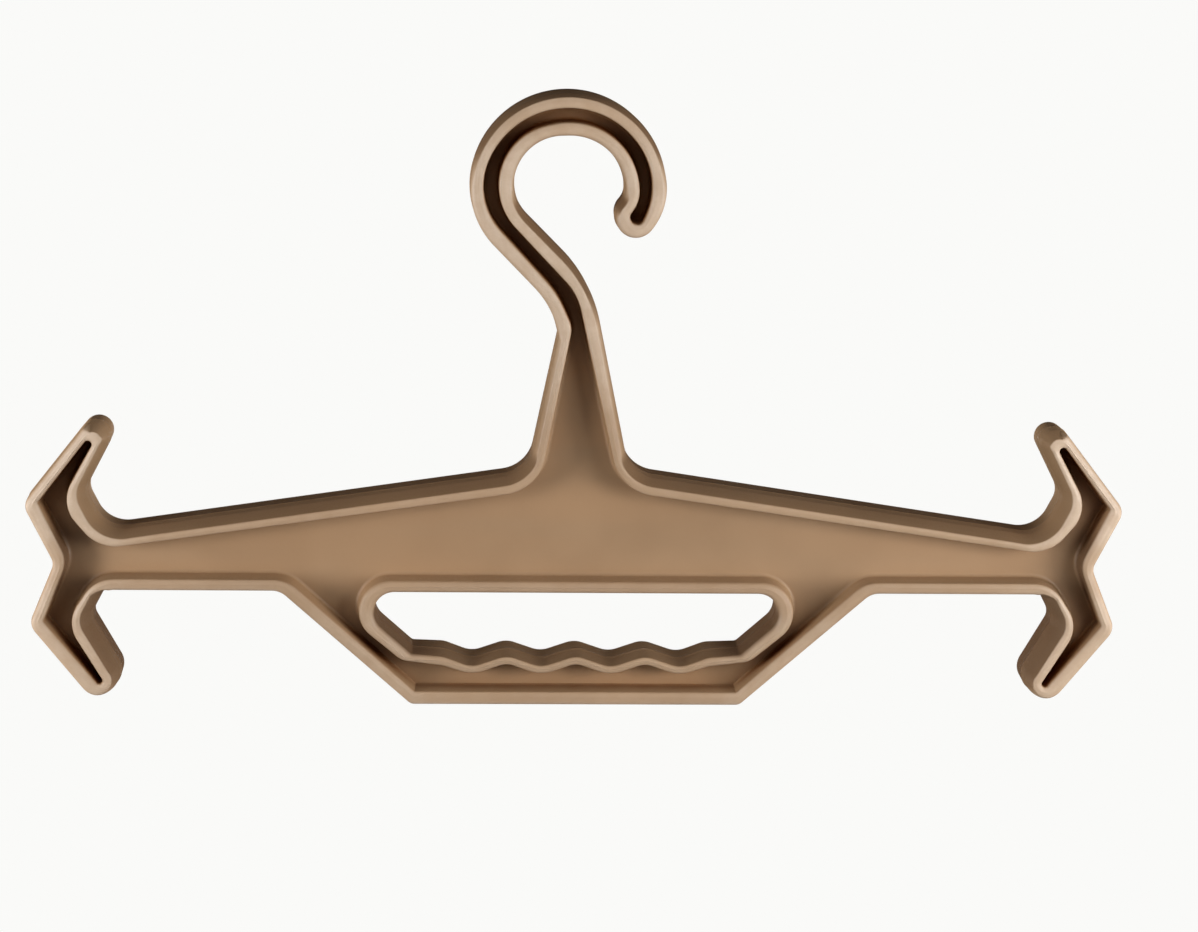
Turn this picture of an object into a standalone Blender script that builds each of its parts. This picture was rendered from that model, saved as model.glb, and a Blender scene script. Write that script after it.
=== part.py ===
"""Heavy-duty gear hanger: a one-piece I-section moulding, laid out here as the
structural members it is made of.

Axes: +X to the right as the front is looked at, -Y towards the viewer, +Z up.
The origin is the crown of the hook's inner arc, where the rod carries the load.

The drawing plane is XZ. Its own datum is the centreline of the body (x = 0) and
the middle of the lowest rim (z = 0); SEAT moves it to the part's origin. The
section is an I laid on its side: a raised rim follows every edge, front and back,
with a pocket between the rims and a web in the middle of the depth. Each corner
of the shape has two discs, one that rounds the outer face and one that rounds
the pocket's edge, because the rim isn't equally wide all the way round.
"""

import math

import bmesh
import bpy

MM = 0.001

# ---- driving dimensions, mm ------------------------------------------------
DEPTH = 25.4          # front rim to back rim
WEB = 4.4             # web between the front and back pockets
GAP = 0.3             # clearance between neighbouring members

BOW_FACE = (-5.7, 200.8, 38.4)      # outside of the bow
BOW_POCKET = (-5.8, 200.2, 33.2)
BOWL_FACE = (-5.0, 201.3, -21.0)    # inside of the bow
BOWL_POCKET = (-5.4, 200.9, -26.8)
TIP_FACE = (20.4, 191.4, 8.1)       # rounded end of the bow
TIP_POCKET = (20.9, 191.8, 3.0)
SEAT = (BOWL_FACE[0], BOWL_FACE[1] - BOWL_FACE[2])   # crown of the bowl

FINGER_PITCH = 27.5
VALLEY_FACE = (13.1, 9.6)           # bottom of a finger scallop: height, radius
VALLEY_POCKET = (9.6, 14.5)
CREST_FACE = (16.7, 10.2)           # crest between two scallops: height, radius
CREST_POCKET = (13.1, 8.1)
OPENING_TOP_FACE = 41.9
OPENING_TOP_POCKET = 46.9

ARC_STEP = math.radians(11)

# ---- the moulding's outline ------------------------------------------------
# The outline runs round the discs like a belt, clockwise, with the material on
# its right: r > 0 is a corner that sticks out, r < 0 a corner that turns in.


def inscribed(ring, r, degrees):
    """A smaller disc that touches the ring from inside, on its side at this angle."""
    way = math.radians(degrees)
    reach = ring[2] - r
    return (ring[0] + reach * math.cos(way), ring[1] + reach * math.sin(way), r)


def meeting(a, reach_a, b, reach_b, side):
    """The point at the given distances from a and b, left (1) or right (-1) of a to b."""
    dx, dz = b[0] - a[0], b[1] - a[1]
    span = math.hypot(dx, dz)
    along = (reach_a**2 - reach_b**2 + span**2) / (2 * span)
    up = side * math.sqrt(reach_a**2 - along**2)
    return (
        a[0] + (along * dx - up * dz) / span,
        a[1] + (along * dz + up * dx) / span,
    )


def tightening(ring, r, tip):
    """The disc that carries the bow's outside smoothly from the ring into its end."""
    return (*meeting(ring, ring[2] - r, tip, r - tip[2], 1), r)


def crook(bowl, r, tip):
    """The hollow behind the bow's end, where the bowl turns into the end."""
    return (*meeting(bowl, -bowl[2] - r, tip, tip[2] + r, 1), -r)


# (outer face, pocket's edge) at each corner of the hook
HOOK = [
    ((-12.9, 144.8, -3.9), (-13.5, 147.4, -9.5)),      # hollow of the neck, under the bow
    ((-43.9, 138.9, -35.4), (-44.4, 138.9, -41.1)),    # slow bend of the shank
    (inscribed(BOW_FACE, 32.8, 160), inscribed(BOW_POCKET, 25.2, 159)),  # back of the bow
    (BOW_FACE, BOW_POCKET),
    (tightening(BOW_FACE, 25.7, TIP_FACE), tightening(BOW_POCKET, 27.5, TIP_POCKET)),
    (TIP_FACE, TIP_POCKET),
    (crook(BOWL_FACE, 6.8, TIP_FACE), crook(BOWL_POCKET, 12.4, TIP_POCKET)),
    (BOWL_FACE, BOWL_POCKET),
    ((-7.5, 203.8, -18.7), (-9.0, 203.0, -23.5)),      # bowl down into the shank
    ((-45.3, 138.2, 54.1), (-24.4, 149.3, 25.2)),      # outside of the neck bend
]

# One side of the body, from the neck out to the horns and back to the grip.
SIDE = [
    ((31.8, 102.1, -13.9), (31.1, 100.2, -18.0)),      # neck into the shoulder
    ((178.3, 78.4, -12.0), (180.7, 75.7, -15.2)),      # strap notch over the arm, inner bend
    ((184.5, 81.0, -7.6), (185.5, 78.8, -13.5)),       # strap notch over the arm, outer bend
    ((188.6, 102.8, 6.1), (190.6, 101.0, 1.7)),        # tip of the upper horn
    ((209.3, 76.1, 6.4), (209.4, 77.8, 1.0)),          # elbow of the upper horn
    ((210.7, 53.0, -5.0), (211.1, 54.3, -10.5)),       # notch in the end, between the horns
    ((207.8, 29.3, 6.8), (208.1, 30.2, 1.3)),          # elbow of the lower horn
    ((188.5, 7.2, 8.2), (188.1, 5.8, 1.5)),            # tip of the lower horn
    ((186.1, 30.3, -5.1), (185.2, 29.2, -12.9)),       # strap notch under the arm, outer bend
    ((181.8, 35.9, -6.3), (181.7, 33.9, -13.3)),       # strap notch under the arm, inner bend
    ((120.1, 34.5, -7.7), (119.3, 33.8, -13.4)),       # arm into the handle strut
    ((63.9, 0.4, 4.4), (63.6, 2.75, 1.0)),             # lower corner of the handle
]


def mirrored(corners):
    return [tuple((-x, z, r) for x, z, r in pair) for pair in reversed(corners)]


OUTLINE = HOOK + SIDE + mirrored(SIDE)

# The hand opening, anticlockwise, so that the material is on its right too.
# (x, height, radius): ends under the top, corners and finger crests on the grip.
END = ((71.9, OPENING_TOP_FACE - 7.8, -7.8), (73.5, OPENING_TOP_POCKET - 12.4, -12.4))
FLOOR_CORNER = ((64.2, 17.5 + 2.2, -2.2), (65.9, 14.3 + 7.6, -7.6))
LAST_CREST = ((54.7, 16.8 - 11.0, 11.0), (54.3, 12.7 - 6.9, 6.9))
LEFT = mirrored([LAST_CREST, FLOOR_CORNER, END])      # in order, from the top down
OPENING = [END, *LEFT]
for k in range(4):
    middle = (k - 1.5) * FINGER_PITCH
    OPENING.append(tuple((middle, low + r, -r) for low, r in (VALLEY_FACE, VALLEY_POCKET)))
    if k < 3:
        crest = middle + FINGER_PITCH / 2
        OPENING.append(tuple((crest, high - r, r) for high, r in (CREST_FACE, CREST_POCKET)))
OPENING += [LAST_CREST, FLOOR_CORNER]


def outer_face(corners):
    return [face for face, pocket in corners]


def pocket_edge(corners):
    return [pocket for face, pocket in corners]


def tangent(a, b):
    """Heading and the two touching points of the straight run from disc a to disc b."""
    (ax, az, ar), (bx, bz, br) = a, b
    dx, dz = bx - ax, bz - az
    span = math.hypot(dx, dz)
    lean = math.asin(max(-1.0, min(1.0, (br - ar) / span)))
    heading = math.atan2(dz, dx) + lean
    nx, nz = -math.sin(heading), math.cos(heading)
    return heading, (ax + ar * nx, az + ar * nz), (bx + br * nx, bz + br * nz)


def belt(discs):
    """Points of the closed line that runs round the discs."""
    count = len(discs)
    runs = [tangent(discs[i], discs[(i + 1) % count]) for i in range(count)]
    points = []
    for i, (x, z, r) in enumerate(discs):
        arrive, leave = runs[i - 1][0], runs[i][0]
        turn = (leave - arrive + math.pi) % (2 * math.pi) - math.pi
        if r > 0 and turn > 1e-6:       # a rounded end turns by more than half a circle
            turn -= 2 * math.pi
        if r < 0 and turn < -1e-6:
            turn += 2 * math.pi
        steps = max(1, math.ceil(abs(turn) / ARC_STEP))
        for k in range(steps + 1):
            way = arrive + turn * k / steps
            points.append((x - r * math.sin(way), z + r * math.cos(way)))
    kept = []
    for p in points:
        if not kept or math.dist(p, kept[-1]) > 0.02:
            kept.append(p)
    if math.dist(kept[0], kept[-1]) < 0.02:
        kept.pop()
    return kept


# ---- modelling helpers -----------------------------------------------------
for old in list(bpy.data.objects):
    bpy.data.objects.remove(old, do_unlink=True)

scene = bpy.context.scene
parts = bpy.data.collections.new("gear_hanger")
cutters = bpy.data.collections.new("cutters")
scene.collection.children.link(parts)
scene.collection.children.link(cutters)


def welded(mesh, matrix):
    """The mesh in place, with its loose caps joined to its sides."""
    work = bmesh.new()
    work.from_mesh(mesh)
    bmesh.ops.remove_doubles(work, verts=work.verts, dist=1e-6)
    bmesh.ops.transform(work, matrix=matrix, verts=work.verts)
    bmesh.ops.recalc_face_normals(work, faces=work.faces)
    work.to_mesh(mesh)
    work.free()
    return mesh


def prism(name, loops, middle, thickness):
    """A closed mesh: flat loops in the XZ plane, extruded along Y about y = middle."""
    curve = bpy.data.curves.new(name, "CURVE")
    curve.dimensions = "2D"
    curve.fill_mode = "BOTH"
    curve.extrude = thickness / 2 * MM
    for loop in loops:
        spline = curve.splines.new("POLY")
        spline.points.add(len(loop) - 1)
        for point, (x, z) in zip(spline.points, loop):
            point.co = ((x - SEAT[0]) * MM, (z - SEAT[1]) * MM, 0, 1)
        spline.use_cyclic_u = True
    drawn = bpy.data.objects.new(name + "_outline", curve)
    cutters.objects.link(drawn)
    drawn.rotation_euler = (math.pi / 2, 0, 0)
    drawn.location = (0, middle * MM, 0)
    bpy.context.view_layer.update()
    mesh = bpy.data.meshes.new_from_object(
        drawn.evaluated_get(bpy.context.evaluated_depsgraph_get())
    )
    mesh = welded(mesh, drawn.matrix_world)
    bpy.data.objects.remove(drawn, do_unlink=True)
    return mesh


def cutter(name, mesh):
    obj = bpy.data.objects.new(name, mesh)
    cutters.objects.link(obj)
    obj.display_type = "WIRE"
    obj.hide_render = True
    return obj


def boolean(obj, name, operation, other):
    modifier = obj.modifiers.new(name, "BOOLEAN")
    modifier.operation = operation
    modifier.solver = "EXACT"
    modifier.object = other


def moulded(name):
    """Tan moulded nylon, matt."""
    material = bpy.data.materials.new(name + "_nylon")
    material.use_nodes = True
    shader = material.node_tree.nodes["Principled BSDF"]
    shader.inputs["Base Color"].default_value = (0.356, 0.238, 0.155, 1)
    shader.inputs["Roughness"].default_value = 0.48
    shader.inputs["Metallic"].default_value = 0.0
    return material


# ---- the whole moulding: plate, hand opening, front and back pockets --------
plate = prism(
    "plate", [belt(outer_face(OUTLINE)), belt(outer_face(OPENING))], 0, DEPTH
)
pocket_loops = [belt(pocket_edge(OUTLINE)), belt(pocket_edge(OPENING))]
BREAK_OUT = 2.0       # how far the pocket cutters stand proud of the rims
pockets = []
for side, sign in (("front", -1), ("back", 1)):
    near, far = WEB / 2, DEPTH / 2 + BREAK_OUT
    pockets.append(
        cutter(
            side + "_pocket",
            prism(side + "_pocket", pocket_loops, sign * (near + far) / 2, far - near),
        )
    )

# ---- where one member ends and the next begins ------------------------------
G = GAP / 2
FAR = 300
SHANK_TOP = 200.2      # bow / shank, level with the hook's centre
TIP_CLEAR = 172.0      # the bow's region reaches down to here beside the shank
NECK_TOP = 150.5       # shank / neck
NECK_FOOT = 98.0       # neck / centre panel
ARM_ROOT = 104.0       # centre panel / arm
HORN_ROOT = 176.0      # arm / horns
HORN_SPLIT = 55.0      # upper / lower horn
STRUT_TOP = 40.6       # centre panel / handle strut
GRIP_END = 60.0        # handle strut / grip bar


def rectangle(x0, z0, x1, z1):
    return [(x0, z0), (x1, z0), (x1, z1), (x0, z1)]


def both_sides(left, right, x0, z0, x1, z1):
    yield right, rectangle(x0, z0, x1, z1)
    yield left, rectangle(-x1, z0, -x0, z1)


REGIONS = {
    "hook_bow": [
        (-FAR, SHANK_TOP + G), (G, SHANK_TOP + G), (G, TIP_CLEAR + G),
        (FAR, TIP_CLEAR + G), (FAR, FAR), (-FAR, FAR),
    ],
    "hook_shank": [
        (-FAR, NECK_TOP + G), (FAR, NECK_TOP + G), (FAR, TIP_CLEAR - G),
        (-G, TIP_CLEAR - G), (-G, SHANK_TOP - G), (-FAR, SHANK_TOP - G),
    ],
    "neck": rectangle(-60, NECK_FOOT + G, 60, NECK_TOP - G),
    "centre_panel": rectangle(-ARM_ROOT + G, STRUT_TOP + G, ARM_ROOT - G, NECK_FOOT - G),
    "grip_bar": rectangle(-GRIP_END + G, -20, GRIP_END - G, 30),
}
for pair in (
    both_sides("left_arm", "right_arm", ARM_ROOT + G, STRUT_TOP + G, HORN_ROOT - G, NECK_FOOT - G),
    both_sides("left_upper_horn", "right_upper_horn", HORN_ROOT + G, HORN_SPLIT + G, FAR, 130),
    both_sides("left_lower_horn", "right_lower_horn", HORN_ROOT + G, -30, FAR, HORN_SPLIT - G),
    both_sides("left_strut", "right_strut", GRIP_END + G, -20, 150, STRUT_TOP - G),
):
    REGIONS.update(pair)

for name, outline in REGIONS.items():
    member = bpy.data.objects.new(name, plate.copy())
    member.data.name = name
    parts.objects.link(member)
    boolean(member, "front pocket", "DIFFERENCE", pockets[0])
    boolean(member, "back pocket", "DIFFERENCE", pockets[1])
    region = cutter(name + "_region", prism(name + "_region", [outline], 0, DEPTH + 10))
    boolean(member, "extent", "INTERSECT", region)
    member.data.materials.append(moulded(name))
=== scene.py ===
"""Looks of a heavy-duty moulded gear hanger.

The whole object is one injection moulding, so one continuous skin stands for all
the structural members: raised rims with a slight crown, outer edges that are
rounded or, where straps slide, bevelled, pockets with draft and filleted floors,
and a fine parting line at mid depth.

All lengths in the tables are millimetres, x across and z up, measured from the
middle of the body and the height of its lowest rim. SEAT is the frame's origin.
"""

import math

import bmesh
import bpy
from mathutils import Matrix, Vector, geometry, noise


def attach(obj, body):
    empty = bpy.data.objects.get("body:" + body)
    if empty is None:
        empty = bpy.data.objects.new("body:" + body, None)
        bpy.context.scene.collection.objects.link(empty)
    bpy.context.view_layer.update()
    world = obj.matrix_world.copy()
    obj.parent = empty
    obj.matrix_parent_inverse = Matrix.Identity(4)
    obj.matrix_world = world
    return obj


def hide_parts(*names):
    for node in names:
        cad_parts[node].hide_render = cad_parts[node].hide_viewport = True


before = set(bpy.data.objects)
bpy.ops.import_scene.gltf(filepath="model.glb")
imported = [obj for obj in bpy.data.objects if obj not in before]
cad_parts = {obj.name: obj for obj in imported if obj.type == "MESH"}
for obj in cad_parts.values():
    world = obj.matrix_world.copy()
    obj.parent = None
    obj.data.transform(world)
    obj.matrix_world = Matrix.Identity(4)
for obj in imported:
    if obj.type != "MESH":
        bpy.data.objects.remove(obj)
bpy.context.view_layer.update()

MM = 0.001

# ---- the moulding's outline ------------------------------------------------
# The outline runs round discs (x, z, r) like a belt, with the material on its
# right: r > 0 is a corner that sticks out, r < 0 a corner that turns in. Each
# corner is a pair: the outer face, and the edge of the pocket behind the rim.

HALF_DEPTH = 12.7
WEB_HALF = 2.2

BOW_FACE = (-5.7, 200.8, 38.27)
BOW_POCKET = (-5.8, 200.2, 33.2)
BOWL_FACE = (-5.0, 201.3, -21.0)
BOWL_POCKET = (-5.4, 200.9, -26.8)
TIP_FACE = (20.4, 191.4, 8.1)
TIP_POCKET = (20.9, 191.8, 3.0)
SEAT = (BOWL_FACE[0], BOWL_FACE[1] - BOWL_FACE[2])

FINGER_PITCH = 27.5
VALLEY_FACE = (13.1, 9.6)       # bottom of a finger scallop: height, radius
VALLEY_POCKET = (9.6, 14.5)
CREST_FACE = (16.7, 10.2)       # crest between two scallops: height, radius
CREST_POCKET = (13.1, 8.1)


def inscribed(ring, r, degrees):
    """A smaller disc that touches the ring from inside, on its side at this angle."""
    way = math.radians(degrees)
    reach = ring[2] - r
    return (ring[0] + reach * math.cos(way), ring[1] + reach * math.sin(way), r)


def meeting(a, reach_a, b, reach_b, side):
    """The point at the given distances from a and b, left (1) or right (-1) of a to b."""
    dx, dz = b[0] - a[0], b[1] - a[1]
    span = math.hypot(dx, dz)
    along = (reach_a**2 - reach_b**2 + span**2) / (2 * span)
    up = side * math.sqrt(reach_a**2 - along**2)
    return (
        a[0] + (along * dx - up * dz) / span,
        a[1] + (along * dz + up * dx) / span,
    )


def tightening(ring, r, tip):
    """The disc that carries the bow's outside smoothly from the ring into its end."""
    return (*meeting(ring, ring[2] - r, tip, r - tip[2], 1), r)


def crook(bowl, r, tip):
    """The hollow behind the bow's end, where the bowl turns into the end."""
    return (*meeting(bowl, -bowl[2] - r, tip, tip[2] + r, 1), -r)


HOOK = [
    ((-12.9, 144.8, -3.9), (-13.5, 147.4, -9.5)),
    ((-43.9, 138.9, -35.4), (-44.4, 138.9, -41.1)),
    (inscribed(BOW_FACE, 32.8, 160), inscribed(BOW_POCKET, 25.2, 159)),
    (BOW_FACE, BOW_POCKET),
    (tightening(BOW_FACE, 25.7, TIP_FACE), tightening(BOW_POCKET, 27.5, TIP_POCKET)),
    (TIP_FACE, TIP_POCKET),
    (crook(BOWL_FACE, 6.8, TIP_FACE), crook(BOWL_POCKET, 12.4, TIP_POCKET)),
    (BOWL_FACE, BOWL_POCKET),
    ((-7.64, 203.52, -18.7), (-8.71, 203.49, -23.5)),
    ((-45.3, 138.2, 54.1), (-24.4, 149.3, 25.2)),
]
SIDE = [
    ((31.8, 102.1, -13.9), (31.1, 100.2, -18.0)),
    ((178.3, 78.4, -12.0), (180.7, 75.7, -15.2)),
    ((184.5, 81.0, -7.6), (185.5, 78.8, -13.5)),
    ((188.6, 102.8, 6.1), (190.6, 101.0, 1.7)),
    ((209.3, 76.1, 6.4), (209.4, 77.8, 1.0)),
    ((210.7, 53.0, -5.0), (211.1, 54.3, -10.5)),
    ((207.8, 29.3, 6.8), (208.1, 30.2, 1.3)),
    ((188.5, 7.2, 8.2), (188.1, 5.8, 1.5)),
    ((186.1, 30.3, -5.1), (185.2, 29.2, -12.9)),
    ((181.8, 35.9, -6.3), (181.7, 33.9, -13.3)),
    ((120.1, 34.5, -7.7), (119.3, 33.8, -13.4)),
    ((63.9, 0.4, 4.4), (63.6, 2.75, 1.0)),
]


def mirrored(corners):
    return [tuple((-x, z, r) for x, z, r in pair) for pair in reversed(corners)]


OUTLINE = HOOK + SIDE + mirrored(SIDE)
LAST_CREST = ((54.7, 5.8, 11.0), (54.3, 5.8, 6.9))
FLOOR_CORNER = ((64.2, 19.7, -2.2), (65.9, 21.9, -7.6))
END = ((71.9, 34.1, -7.8), (73.5, 34.5, -12.4))
OPENING = [END, *mirrored([LAST_CREST, FLOOR_CORNER, END])]
for k in range(4):
    middle = (k - 1.5) * FINGER_PITCH
    OPENING.append(tuple((middle, low + r, -r) for low, r in (VALLEY_FACE, VALLEY_POCKET)))
    if k < 3:
        crest = middle + FINGER_PITCH / 2
        OPENING.append(tuple((crest, high - r, r) for high, r in (CREST_FACE, CREST_POCKET)))
OPENING += [LAST_CREST, FLOOR_CORNER]


def heading(a, b):
    """Heading of the straight run from disc a to disc b."""
    dx, dz = b[0] - a[0], b[1] - a[1]
    lean = math.asin(max(-1.0, min(1.0, (b[2] - a[2]) / math.hypot(dx, dz))))
    return math.atan2(dz, dx) + lean


def turns(discs):
    """For each disc, the heading on arrival and how far the belt turns round it."""
    count = len(discs)
    ways = [heading(discs[i], discs[(i + 1) % count]) for i in range(count)]
    out = []
    for i, (x, z, r) in enumerate(discs):
        turn = (ways[i] - ways[i - 1] + math.pi) % (2 * math.pi) - math.pi
        if r > 0 and turn > 0.02:
            turn -= 2 * math.pi
        if r < 0 and turn < -0.02:
            turn += 2 * math.pi
        out.append((ways[i - 1], turn))
    return out


def touch(disc, way):
    x, z, r = disc
    return (x - r * math.sin(way), z + r * math.cos(way))


def counts(discs, step_arc, step_run):
    """How many points each arc and each straight run of the belt gets."""
    found = turns(discs)
    arcs, runs = [], []
    for i, disc in enumerate(discs):
        arrive, turn = found[i]
        arcs.append(
            max(3, math.ceil(abs(turn * disc[2]) / step_arc), math.ceil(abs(turn) / math.radians(7)))
        )
        nxt = (i + 1) % len(discs)
        span = math.dist(touch(disc, arrive + turn), touch(discs[nxt], found[nxt][0]))
        runs.append(max(1, math.ceil(span / step_run)))
    return arcs, runs


def belt(discs, plan):
    """The belt's points, as many on each arc and run as the plan says."""
    found = turns(discs)
    arcs, runs = plan
    points = []
    for i, disc in enumerate(discs):
        arrive, turn = found[i]
        for k in range(arcs[i] + 1):
            points.append(touch(disc, arrive + turn * k / arcs[i]))
        nxt = (i + 1) % len(discs)
        a, b = points[-1], touch(discs[nxt], found[nxt][0])
        for k in range(1, runs[i]):
            t = k / runs[i]
            points.append((a[0] + (b[0] - a[0]) * t, a[1] + (b[1] - a[1]) * t))
    return points


def outward(discs, plan):
    """The direction out of the material at each point of the belt."""
    found = turns(discs)
    arcs, runs = plan
    ways = []
    for i in range(len(discs)):
        arrive, turn = found[i]
        steps = [arrive + turn * k / arcs[i] for k in range(arcs[i] + 1)]
        ways += steps + [steps[-1]] * (runs[i] - 1)
    return [(-math.sin(way), math.cos(way)) for way in ways]


def along(pairs, plan):
    """A value at each point: a disc's two values run over its arc, and on to the next disc's first."""
    arcs, runs = plan
    out = []
    for i, (start, end) in enumerate(pairs):
        out += [start + (end - start) * k / arcs[i] for k in range(arcs[i] + 1)]
        after = pairs[(i + 1) % len(pairs)][0]
        out += [end + (after - end) * k / runs[i] for k in range(1, runs[i])]
    return out


def shrunk(r, by):
    """A corner's radius moved in. One that sticks out never quite closes up."""
    if r < 0 or by < r / 2:
        return r - by
    room = r / 2 - 0.12
    return 0.12 + room * math.exp(-(by - r / 2) / room)


def inset(discs, by):
    """The discs of the belt moved towards the material's inside."""
    return [(x, z, shrunk(r, by)) for x, z, r in discs]


# ---- the moulding's section ------------------------------------------------
# Rows run from mid depth out over the rim and down to the web. The outer face is
# moved in from the outline; the pocket's rows follow their own discs. A rim's
# outer edge is a plain rounding, or where straps slide over it, on top and in the
# notches, a long steep bevel with a small rounding at the rim.

PARTING_LINE = 0.05     # how far the fine line at mid depth stands out
FACE_DRAFT = 0.30
EDGE_PLAIN = 2.4        # width of the plain rounding
EDGE_TOP = 2.8          # width of the bevel on faces that look up
EDGE_TOP_HOOK = 1.7     # the same on the hook
EDGE_FINGER = 1.0       # rounding of the scallops
BEVEL_RISE = 2.75       # how much deeper than wide a bevel is, up to BEVEL_DEEPEST
BEVEL_DEEPEST = 9.3
BEVEL_FOOT = 1.2
BEVEL_ROUND = 0.45
EDGE_INNER = 1.05       # rounding of a rim's pocket side
EDGE_INNER_GRIP = 1.75  # the same round the hand opening
RIM_CROWN = 0.22        # how far the middle of a rim stands out over its edges
RIM_EDGE = HALF_DEPTH - RIM_CROWN
POCKET_DRAFT = 0.38
FLOOR_FILLET = 1.45
ROWS_EDGE = 10

# Bevel width where the outline enters and leaves each disc of one side, from the
# neck's foot to the grip; 0 leaves it to the direction that the face looks in.
NOTCH_BEVEL = [
    (0, 0), (2.9, 3.1), (3.1, 3.1), (3.1, 0), (0, 0), (0, 0),
    (0, 0), (0, 3.6), (3.9, 3.9), (3.9, 0), (0, 0), (0, 0),
]
# How much painted shade the upward and bevelled faces get there, against the hook's 1.
PAINTED_SHADE_AMOUNT = [
    (0.9, 0.8), (0.8, 0.3), (0.2, 0.2), (0.2, 0.5), (0.5, 0.5), (0.5, 0.5),
    (0.5, 0.5), (0.5, 1.0), (1.0, 1.0), (1.0, 0.5), (0.5, 0.5), (0.5, 0.5),
]
END_NOTCH = 53.0        # height of the notch between an end's two horns
# painted shade beside the notch in each end: on the pocket's wall, and less on the web
NOTCH_SHADE_WALL = 0.8
NOTCH_SHADE_WEB = 0.52, 0.24   # at the left end, and at the right one
# painted shade on the scallops' upward roundings, and on the roundings at the opening's ends
PAINTED_SHADE_FINGER, PAINTED_SHADE_SLOPE = 0.5, 0.9   # the same in the scallops, and at the opening's ends


def eased(value, low, high):
    t = max(0.0, min(1.0, (value - low) / (high - low)))
    return t * t * (3 - 2 * t)


def arc(count):
    """Sine and cosine of a quarter turn in equal steps."""
    return [
        (math.sin(math.pi / 2 * k / count), math.cos(math.pi / 2 * k / count))
        for k in range(count + 1)
    ]


def rounded(wide, count):
    """A quarter round as (way in, drop below the rim, rim value)."""
    return [(wide * (1 - c), wide * (1 - s), s**1.2) for s, c in arc(count)]


def bent(a, corner, b, t):
    """A point on the smooth bend from a to b round the corner."""
    return tuple(
        a[i] * (1 - t) ** 2 + 2 * corner[i] * t * (1 - t) + b[i] * t * t for i in range(2)
    )


def bevelled(wide):
    """A long bevel, as rounded() gives a quarter round, with as many rows."""
    deep = min(BEVEL_RISE * wide, BEVEL_DEEPEST)
    top = wide - BEVEL_ROUND
    span = math.hypot(top, deep)
    ux, uy = top / span, deep / span
    foot, foot_corner = (0.0, deep + BEVEL_FOOT), (0.0, deep)
    start = (BEVEL_FOOT * ux, deep - BEVEL_FOOT * uy)
    end, top_corner, rim = (top - BEVEL_ROUND * ux, BEVEL_ROUND * uy), (top, 0.0), (wide, 0.0)
    middle = tuple((start[i] + end[i]) / 2 for i in range(2))
    rows = [(*foot, 0.0), (*bent(foot, foot_corner, start, 0.35), 0.0)]
    rows += [(*bent(foot, foot_corner, start, 0.7), 0.0), (*start, 0.0), (*middle, 0.0), (*end, 0.05)]
    rows += [(*bent(end, top_corner, rim, t), t) for t in (0.25, 0.5, 0.75)]
    return rows + [(*rim, 1.0)]


def notch_shade(x, z, web):
    """Painted shade on the pocket's wall beside the notch in each end, and less of it on the web."""
    near = eased(abs(x), 180, 195) * (1 - eased(abs(z - END_NOTCH), 8, 24))
    return near * (NOTCH_SHADE_WALL + (NOTCH_SHADE_WEB[x > 0] - NOTCH_SHADE_WALL) * web)


def edge_rows(wide, steep):
    """The outer edge's rows for one point, from a plain rounding (0) to a bevel (1)."""
    plain = rounded(wide, ROWS_EDGE - 1)
    if steep <= 0:
        return plain
    slope = bevelled(wide)
    return [tuple(p + (q - p) * steep for p, q in zip(a, b)) for a, b in zip(plain, slope)]


def lofted(corners, edges, soft, step_arc, step_run):
    """Rows of (x, z, depth, rim value, painted shade value) round one belt, from mid depth to the web."""
    face = [pair[0] for pair in corners]
    pocket = [pair[1] for pair in corners]
    plan = counts(face, step_arc, step_run)
    base, out = belt(face, plan), outward(face, plan)
    profiles, painted_shade = edges(out, plan)
    side = 0.03 + PARTING_LINE + FACE_DRAFT

    def face_row(way, depth, rim=0.0):
        """way, depth and rim value may each be one number or one for each point."""
        row = []
        for k, ((x, z), (nx, nz)) in enumerate(zip(base, out)):
            w, d, r = (v[k] if isinstance(v, list) else v for v in (way, depth, rim))
            row.append((x - nx * w, z - nz * w, d, r, painted_shade[k] * (1 - r)))
        return row

    rows = [face_row(0.03, 0.0), face_row(0.03, 0.09), face_row(0.03 + PARTING_LINE, 0.17)]
    foot = [RIM_EDGE - profile[0][1] for profile in profiles]
    for t in (0.3, 0.65):
        rows.append(face_row(0.03 + PARTING_LINE + FACE_DRAFT * t, [d * t for d in foot]))
    for j in range(len(profiles[0])):
        rows.append(
            face_row(
                [side + profile[j][0] for profile in profiles],
                [RIM_EDGE - profile[j][1] for profile in profiles],
                [profile[j][2] for profile in profiles],
            )
        )
    outer = rows[-1]

    def pocket_row(way, depth, rim=0.0, web=0.0):
        """web says how far the row has got from the wall to the web."""
        line = belt(inset(pocket, way), plan)
        # each point carries the painted shade beside the end notches
        return [(x, z, depth, rim, (1 - rim) * notch_shade(x, z, web)) for x, z in line]

    inner = [
        pocket_row(0.12 - soft * (1 - s), RIM_EDGE - soft * (1 - c), c)
        for s, c in arc(5)
    ]
    for t in (0.18, 0.4, 0.6, 0.82):
        depth = RIM_EDGE + RIM_CROWN * 4 * t * (1 - t)
        rows.append(
            [
                (a[0] + (b[0] - a[0]) * t, a[1] + (b[1] - a[1]) * t, depth, 1.0, 0.0)
                for a, b in zip(outer, inner[0])
            ]
        )
    rows += inner
    top, floor = RIM_EDGE - soft, WEB_HALF + FLOOR_FILLET
    for t in (0.3, 0.6, 0.85):
        rows.append(pocket_row(0.12 + POCKET_DRAFT * t, top + (floor - top) * t))
    for s, c in arc(6):
        way = 0.12 + POCKET_DRAFT + FLOOR_FILLET * (1 - c)
        rows.append(pocket_row(way, floor - FLOOR_FILLET * s, 0.0, s**4))
    rows.append(pocket_row(0.12 + POCKET_DRAFT + FLOOR_FILLET + 0.25, WEB_HALF, 0.0, 1.0))
    return rows


def both_sides(pairs, flip=1):
    """A list of (in, out) pairs for one side, followed by the other side's."""
    return pairs + [(flip * end, flip * start) for start, end in reversed(pairs)]


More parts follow.
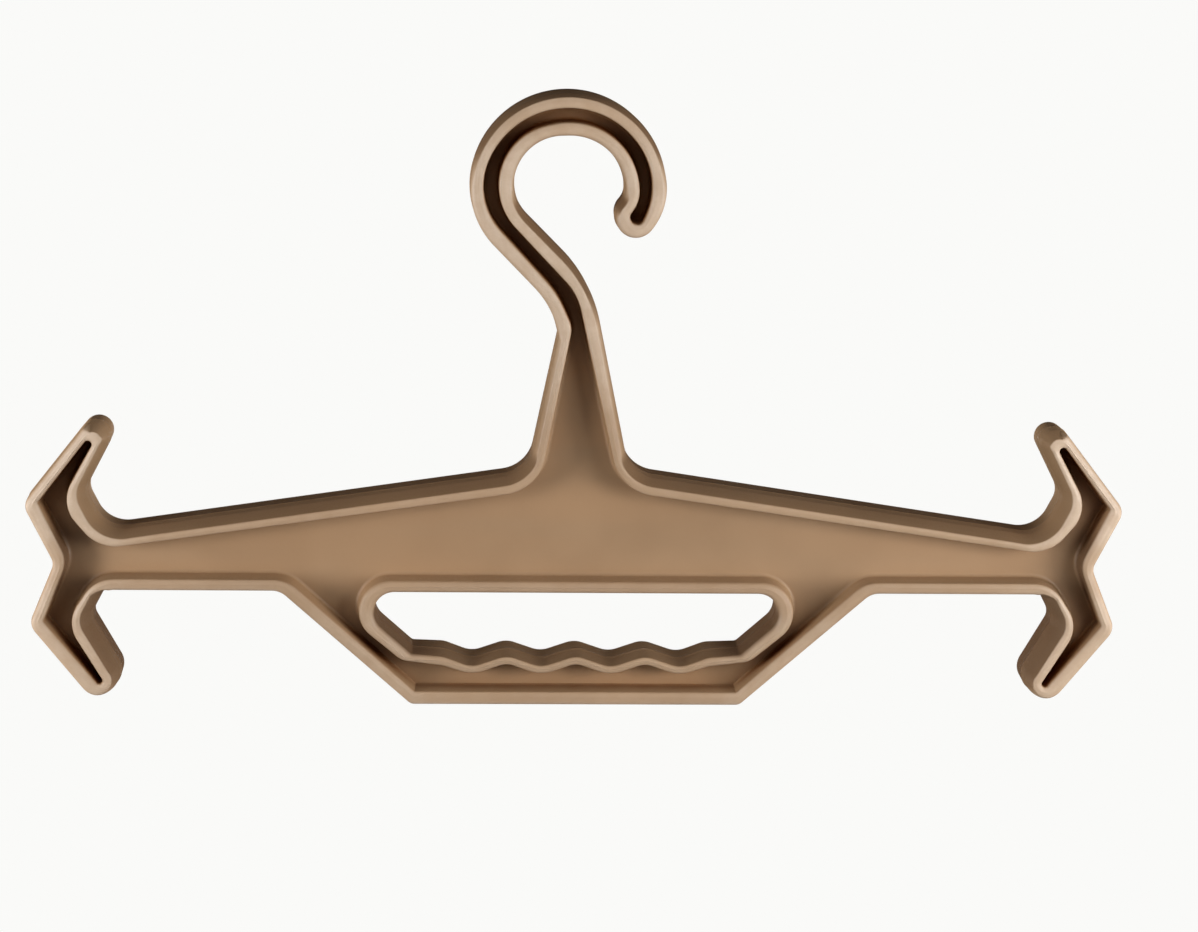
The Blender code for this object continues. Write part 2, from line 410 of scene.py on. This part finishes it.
def bevels(out, plan):
    """At each point of the outline: how wide its edge is, how far it is a bevel, how much painted shade it
    gets.
    """
    plain = [(0, 0)] * len(HOOK)
    notch = along(plain + both_sides(NOTCH_BEVEL), plan)
    tops = [EDGE_TOP_HOOK] * len(HOOK) + [EDGE_TOP] * 2 * len(SIDE)
    tops = along([(top, top) for top in tops], plan)
    horn = [(float(x > 150),) * 2 for (x, _, _), _ in SIDE]
    ends = along(plain + both_sides(horn, -1), plan)
    shaded = along([(1, 1)] * len(HOOK) + both_sides(PAINTED_SHADE_AMOUNT), plan)
    found = []
    for (nx, nz), wide, top, end, shading in zip(out, notch, tops, ends, shaded):
        up = eased(nz, 0.0, 0.5) * (1 - eased(nx * end, 0.25, 0.6))
        usual = EDGE_PLAIN + (top - EDGE_PLAIN) * up
        steep = max(up, eased(wide, 0.8, 2.6))
        # the third value is painted shade, where the face looks up or is bevelled in a notch
        found.append((max(usual, wide), steep, steep * shading))
    return found


def front_edges(out, plan):
    """The front's outer edge: bevelled where the face looks up and in the strap notches."""
    found = bevels(out, plan)
    # the second list is the painted shade, a little lighter on the front
    return [edge_rows(wide, steep) for wide, steep, _ in found], [0.7 * shaded for *_, shaded in found]


def back_edges(out, plan):
    # the back: plain roundings, with the same painted shade
    return [edge_rows(EDGE_PLAIN, 0.0)] * len(out), [shaded for *_, shaded in bevels(out, plan)]


def grip_edges(out, plan):
    finger = [abs(x) < 60 for (x, _, _), _ in OPENING]
    wide = along([(EDGE_FINGER if own else EDGE_PLAIN,) * 2 for own in finger], plan)
    # painted shade on the upward roundings of the scallops and of the opening's ends
    shaded = along([(PAINTED_SHADE_FINGER if own else PAINTED_SHADE_SLOPE,) * 2 for own in finger], plan)
    lowest = along([(0.0 if own else -0.6,) * 2 for own in finger], plan)
    shaded = [
        amount * eased(nz, low, 0.5 + 0.5 * low)
        for amount, low, (nx, nz) in zip(shaded, lowest, out)
    ]
    return [edge_rows(own, 0.0) for own in wide], shaded


def placed(x, depth, z):
    return ((x - SEAT[0]) * MM, depth * MM, (z - SEAT[1]) * MM)


def within(point, loop):
    x, z = point
    odd = False
    for i in range(len(loop)):
        (ax, az), (bx, bz) = loop[i - 1], loop[i]
        if (az > z) != (bz > z) and x < (bx - ax) * (z - az) / (bz - az) + ax:
            odd = not odd
    return odd


def moulding():
    """The whole hanger as one closed skin."""
    work = bmesh.new()
    # per point: rim value, painted shade, and how much of the paler rim tint it gets (partly wear, partly
    # painted highlight)
    rim_layer = work.verts.layers.float.new("rim")
    painted_shade_layer = work.verts.layers.float.new("painted_shade")
    wear_and_highlight = work.verts.layers.float.new("wear_and_highlight")
    floors = {-1: [], 1: []}
    outside = (OUTLINE, (front_edges, back_edges), EDGE_INNER)
    opening = (OPENING, (grip_edges, grip_edges), EDGE_INNER_GRIP)
    for corners, edges, soft in (outside, opening):
        middle = None
        for side, edge in zip((-1, 1), edges):
            rows = lofted(corners, edge, soft, 1.15, 3.2)
            if middle is None:
                middle = [work.verts.new(placed(x, 0, z)) for x, z, _, _, _ in rows[0]]
                for vert, point in zip(middle, rows[0]):
                    vert[painted_shade_layer] = point[4]
            before = middle
            for row in rows[1:]:
                ring = []
                for x, z, depth, rim, painted_shade in row:
                    vert = work.verts.new(placed(x, side * depth, z))
                    vert[rim_layer] = rim
                    vert[painted_shade_layer] = painted_shade
                    ring.append(vert)
                for k in range(len(ring)):
                    work.faces.new((before[k - 1], before[k], ring[k], ring[k - 1]))
                before = ring
            floors[side].append((before, [(x, z) for x, z, _, _, _ in rows[-1]]))
    # the web, between the outline's pocket floor and the opening's
    for side, loops in floors.items():
        flat, edges, owners = [], [], []
        for ring, line in loops:
            start = len(flat)
            flat += [Vector(p) for p in line]
            owners += ring
            edges += [(start + k, start + (k + 1) % len(ring)) for k in range(len(ring))]
        found = geometry.delaunay_2d_cdt(flat, edges, [], 0, 1e-5)
        points, triangles, origins = found[0], found[2], found[3]
        verts = []
        for p, origin in zip(points, origins):
            verts.append(owners[origin[0]] if origin else work.verts.new(placed(p[0], side * WEB_HALF, p[1])))
        for tri in triangles:
            cx = sum(points[i][0] for i in tri) / 3
            cz = sum(points[i][1] for i in tri) / 3
            corners = [verts[i] for i in tri]
            longest = max((points[tri[i]] - points[tri[i - 1]]).length for i in range(3))
            if geometry.area_tri(*(points[i] for i in tri)) < 1e-5 * longest**2:
                continue
            if len(set(corners)) < 3 or not within((cx, cz), loops[0][1]) or within((cx, cz), loops[1][1]):
                continue
            if work.faces.get(corners) is None:
                work.faces.new(corners)
    bmesh.ops.remove_doubles(work, verts=work.verts, dist=3e-7)
    bmesh.ops.recalc_face_normals(work, faces=work.faces)
    # how much of the paler rim tint each point gets, partly wear and partly painted highlight: most on the
    # hook and the ends
    for vert in work.verts:
        x, z = vert.co.x / MM + SEAT[0], vert.co.z / MM + SEAT[1]
        hook = eased(z, 98, 150) * (1 - 0.6 * eased(z, 208, 231))
        end = eased(abs(x), 160, 184) * (0.62 + 0.38 * eased(z, 30, 70))
        end *= 0.3 + 0.7 * eased(abs(z - END_NOTCH), 3, 18)
        strut = 0.38 * eased(abs(x), 45, 66) * (1 - eased(abs(x), 105, 125)) * (1 - eased(z, 30, 42))
        vert[wear_and_highlight] = max(hook, end, strut)
    for face in work.faces:
        face.smooth = True
    mesh = bpy.data.meshes.new("hanger_moulding")
    work.to_mesh(mesh)
    work.free()
    return mesh


# ---- material --------------------------------------------------------------

RESIN_DARK = (0.325, 0.201, 0.108)
RESIN_LIGHT = (0.372, 0.234, 0.129)
RESIN_WARM = (0.372, 0.221, 0.114)
# paler rim tint: partly wear, partly painted highlight
RUBBED_AND_HIGHLIGHT = (0.66, 0.53, 0.41)
RUB_AND_HIGHLIGHT_BODY, RUB_AND_HIGHLIGHT_HOOK = 0.19, 0.64
# painted shade tints: for upward faces and the end notches, and for deep pockets
PAINTED_SHADE_TINT, PAINTED_SHADE_STRENGTH = (0.36, 0.31, 0.28), 1.0
POCKET_SHADE_TINT, POCKET_SHADE_STRENGTH = (0.44, 0.22, 0.07), 1.0
AO_LOW, AO_HIGH = 0.12, 0.55


def moulded_nylon():
    """Tan nylon: cloudy resin colour; rims paler, partly wear and partly a painted highlight; painted shade in
    deep pockets and on top.
    """
    material = bpy.data.materials.new("moulded_nylon")
    material.use_nodes = True
    tree = material.node_tree
    nodes, links = tree.nodes, tree.links
    shader = next(n for n in nodes if n.type == "BSDF_PRINCIPLED")
    shader.inputs["Metallic"].default_value = 0.0
    shader.inputs["IOR"].default_value = 1.46

    def node(kind, **values):
        made = nodes.new(kind)
        for name, value in values.items():
            if name in made.inputs:
                made.inputs[name].default_value = value
            else:
                setattr(made, name, value)
        return made

    def ramp(value, low, high, out_low=0.0, out_high=1.0):
        made = node("ShaderNodeMapRange", interpolation_type="SMOOTHSTEP")
        for name, number in (("From Min", low), ("From Max", high), ("To Min", out_low), ("To Max", out_high)):
            made.inputs[name].default_value = number
        links.new(value, made.inputs["Value"])
        return made.outputs["Result"]

    def math_node(operation, a, b):
        made = node("ShaderNodeMath", operation=operation)
        for socket, value in zip(made.inputs, (a, b)):
            if isinstance(value, float):
                socket.default_value = value
            else:
                links.new(value, socket)
        return made.outputs[0]

    def mixed(factor, a, b, blend="MIX"):
        made = node("ShaderNodeMix", data_type="RGBA", blend_type=blend)
        links.new(factor, made.inputs[0])
        for socket, value in ((made.inputs[6], a), (made.inputs[7], b)):
            if isinstance(value, tuple):
                socket.default_value = (*value, 1)
            else:
                links.new(value, socket)
        return made.outputs[2]

    place = node("ShaderNodeTexCoord").outputs["Object"]

    def noise_at(scale, detail, rough, stretch=None):
        made = node("ShaderNodeTexNoise", Scale=scale, Detail=detail, Roughness=rough)
        if stretch:
            squeeze = node("ShaderNodeMapping")
            squeeze.inputs["Scale"].default_value = stretch
            links.new(place, squeeze.inputs["Vector"])
            links.new(squeeze.outputs["Vector"], made.inputs["Vector"])
        else:
            links.new(place, made.inputs["Vector"])
        return made.outputs["Fac"]

    def attribute(name):
        return node("ShaderNodeAttribute", attribute_name=name).outputs["Fac"]

    # resin colour: slow clouds, and faint streaks where the melt ran along the arms
    colour = mixed(ramp(noise_at(22.0, 3.0, 0.5), 0.3, 0.7), RESIN_DARK, RESIN_LIGHT)
    streaks = ramp(noise_at(60.0, 2.0, 0.5, (0.12, 1.0, 1.0)), 0.35, 0.7, 0.0, 0.5)
    colour = mixed(streaks, colour, RESIN_WARM)

    # rims: paler, partly wear and partly painted highlight, most of all on the hook and the horns, and
    # unevenly
    uneven_rub = ramp(noise_at(140.0, 4.0, 0.65), 0.3, 0.75, 0.75, 1.1)
    amount = ramp(attribute("wear_and_highlight"), 0.0, 1.0, RUB_AND_HIGHLIGHT_BODY, RUB_AND_HIGHLIGHT_HOOK)
    rubbed_and_highlight = math_node("MULTIPLY", math_node("MULTIPLY", attribute("rim"), amount), uneven_rub)
    colour = mixed(rubbed_and_highlight, colour, RUBBED_AND_HIGHLIGHT)

    # painted shade where faces look up, on the bevels in the strap notches, and beside the end notches
    patchy = ramp(noise_at(35.0, 3.0, 0.6), 0.25, 0.75, 0.88, 1.0)
    painted_shade_mix = math_node("MULTIPLY", ramp(attribute("painted_shade"), 0.0, 1.0, 0.0, PAINTED_SHADE_STRENGTH), patchy)
    colour = mixed(painted_shade_mix, colour, PAINTED_SHADE_TINT, "MULTIPLY")
    # painted shade in deep narrow pockets from ambient occlusion, with the specular turned down there as well
    occlusion = node("ShaderNodeAmbientOcclusion", samples=10)
    occlusion.inputs["Distance"].default_value = 0.013
    depth = ramp(occlusion.outputs["AO"], AO_LOW, AO_HIGH, POCKET_SHADE_STRENGTH, 0.0)
    colour = mixed(depth, colour, POCKET_SHADE_TINT, "MULTIPLY")
    links.new(colour, shader.inputs["Base Color"])
    links.new(ramp(occlusion.outputs["AO"], AO_LOW, 0.8, 0.06, 0.5), shader.inputs["Specular IOR Level"])

    # surface: a fine moulded texture, smoother where it is rubbed
    grain = noise_at(1100.0, 2.0, 0.6)
    gloss = ramp(grain, 0.25, 0.75, 0.47, 0.60)
    links.new(math_node("SUBTRACT", gloss, math_node("MULTIPLY", rubbed_and_highlight, 0.10)), shader.inputs["Roughness"])
    pebble = node("ShaderNodeBump", Strength=0.22, Distance=0.0001)
    links.new(grain, pebble.inputs["Height"])
    links.new(pebble.outputs["Normal"], shader.inputs["Normal"])
    return material


hanger = bpy.data.objects.new("hanger_moulding", moulding())
bpy.context.scene.collection.objects.link(hanger)
hanger.data.materials.append(moulded_nylon())
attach(hanger, "root")
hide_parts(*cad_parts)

# ---- camera ----------------------------------------------------------------
camera = bpy.data.objects.new("camera", bpy.data.cameras.new("camera"))
bpy.context.scene.collection.objects.link(camera)
right = (0.998877, -0.044198, 0.017070)
up = (-0.007046, 0.217689, 0.975993)
back = (-0.046853, -0.975017, 0.217133)
spot = (-0.039797, -1.105243, 0.115238)
camera.matrix_world = Matrix(
    [(right[i], up[i], back[i], spot[i]) for i in range(3)] + [(0, 0, 0, 1)]
)
camera.data.sensor_fit = "HORIZONTAL"
camera.data.sensor_width = 36.0
camera.data.lens = 86.24
camera.data.clip_start, camera.data.clip_end = 0.01, 100.0
bpy.context.scene.camera = camera

# ---- room and lights -------------------------------------------------------
MIDDLE = Vector((0.005, 0.0, -0.105))


def softbox(name, azimuth, elevation, distance, size, power, colour=(1, 1, 1)):
    """A square light that faces the object. Azimuth 0 is in front, 90 on the right."""
    data = bpy.data.lights.new(name, "AREA")
    data.shape = "RECTANGLE"
    data.size, data.size_y = size
    data.energy = power
    data.color = colour
    box = bpy.data.objects.new(name, data)
    bpy.context.scene.collection.objects.link(box)
    a, e = math.radians(azimuth), math.radians(elevation)
    way = Vector((math.sin(a) * math.cos(e), -math.cos(a) * math.cos(e), math.sin(e)))
    box.location = MIDDLE + way * distance
    box.rotation_mode = "QUATERNION"
    box.rotation_quaternion = way.to_track_quat("Z", "Y")
    return box


LIGHTS = [
    ("side_right", 63, 0, 0.95, (0.3, 0.4), 5.5),
    ("key_right", 45, 14, 1.2, (0.4, 0.4), 3.6),
    ("near_right", 45, 0, 0.75, (0.3, 0.3), 0.9),
    ("side_left", -63, 0, 0.95, (0.3, 0.4), 6.1),
    ("key_left", -45, 14, 1.2, (0.4, 0.4), 1.7),
    ("front", 0, -14, 1.2, (0.4, 0.4), 0.5),
    ("edge_right", 95, -14, 0.9, (0.3, 0.4), 2.7),
    ("edge_left", -95, -14, 0.9, (0.3, 0.4), 2.9),
    ("top", 0, 62, 1.2, (0.8, 0.5), 1.9),
    ("bounce", 0, -86, 0.9, (0.9, 0.5), 3.3),
]
BACK_LIGHTS = [
    ("back_right", 168, -10, 1.2, (0.5, 0.5), 6.2),
    ("back_left", -168, -10, 1.2, (0.5, 0.5), 6.2),
    ("back_top", 180, 40, 1.2, (0.5, 0.5), 1.6),
]
for row in LIGHTS:
    softbox(*row)
for row in BACK_LIGHTS:
    softbox(*row).visible_glossy = False

room_mesh = bpy.data.meshes.new("room")
work = bmesh.new()
bmesh.ops.create_uvsphere(work, u_segments=96, v_segments=48, radius=6.0)
bmesh.ops.reverse_faces(work, faces=work.faces)
for face in work.faces:
    face.smooth = True
work.to_mesh(room_mesh)
work.free()
room = bpy.data.objects.new("room", room_mesh)
bpy.context.scene.collection.objects.link(room)
pale = bpy.data.materials.new("pale_room")
pale.use_nodes = True
for old in list(pale.node_tree.nodes):
    pale.node_tree.nodes.remove(old)
glow = pale.node_tree.nodes.new("ShaderNodeEmission")
glow.inputs["Color"].default_value = (0.956, 0.956, 0.940, 1)
glow.inputs["Strength"].default_value = 1.0
end = pale.node_tree.nodes.new("ShaderNodeOutputMaterial")
pale.node_tree.links.new(glow.outputs[0], end.inputs["Surface"])
room_mesh.materials.append(pale)
room.visible_diffuse = False
room.visible_glossy = False

world = bpy.data.worlds.new("world")
bpy.context.scene.world = world
world.use_nodes = True
shade = next(n for n in world.node_tree.nodes if n.type == "BACKGROUND")
shade.inputs["Color"].default_value = (1, 1, 1, 1)
shade.inputs["Strength"].default_value = 0.0

view = bpy.context.scene.view_settings
view.view_transform = "Standard"
view.look = "None"
view.exposure = 0.0
view.gamma = 1.0
